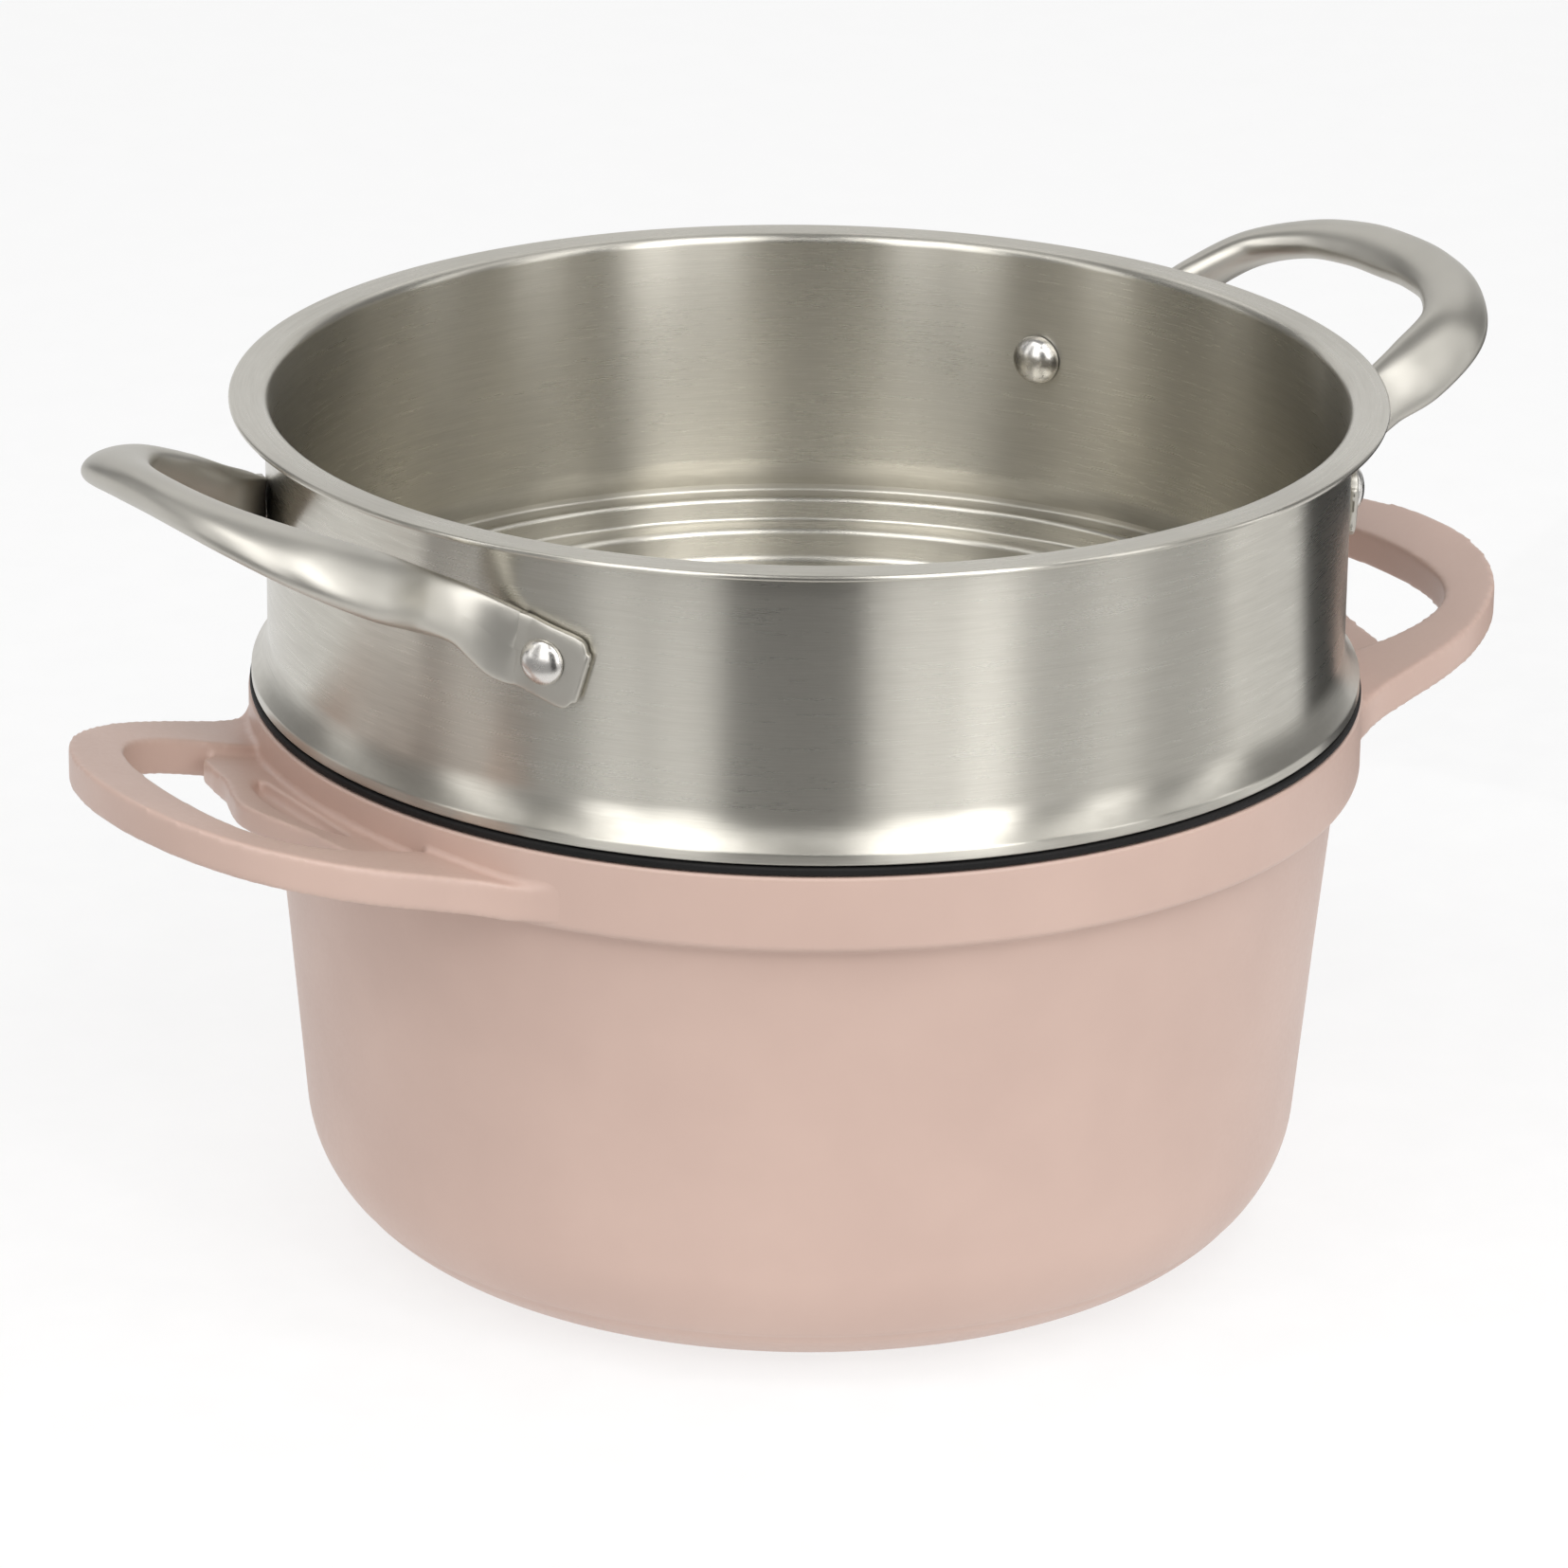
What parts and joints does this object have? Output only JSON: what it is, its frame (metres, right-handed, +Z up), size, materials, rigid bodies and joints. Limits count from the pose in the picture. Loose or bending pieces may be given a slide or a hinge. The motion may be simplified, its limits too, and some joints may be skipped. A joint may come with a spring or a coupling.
{
  "type": "casserole pot with steamer insert",
  "caption": "Round cast casserole pot with loop handles, topped by a riveted stainless steel steamer that stands on the rim through a silicone seal and lifts off.",
  "frame": {"origin": "on the pot's axis, in the plane that it stands on", "axes": "+Z up along the pot's axis, X through the two cast pot handles, +Y to the rear"},
  "size_m": [0.3544, 0.2576, 0.2038],
  "materials": {
    "pink_coating": "satin ceramic coating in dusty pink on cast aluminium",
    "brushed_steel": "fine circumferential brushing",
    "polished_steel": "polished stainless steel",
    "black_silicone": "matt black silicone"
  },
  "bodies": {
    "pot": {"pot_body": "pink_coating", "base_disc": "brushed_steel"},
    "seal": {"seal_ring": "black_silicone"},
    "steamer": {"steamer_body": "brushed_steel", "steamer_handle_right": "brushed_steel", "steamer_handle_left": "brushed_steel", "rivet_right_front": "polished_steel", "rivet_right_rear": "polished_steel", "rivet_left_front": "polished_steel", "rivet_left_rear": "polished_steel"}
  },
  "joints": [
    {"name": "steamer_lift", "type": "slide", "parent": "pot", "child": "seal", "axis": [0, 0, 1], "range_m": [0, 0.12]},
    {"name": "steamer_turn", "type": "hinge", "parent": "seal", "child": "steamer", "pos_m": [0, 0, 0.1284], "axis": [0, 0, 1], "continuous": true}
  ]
}
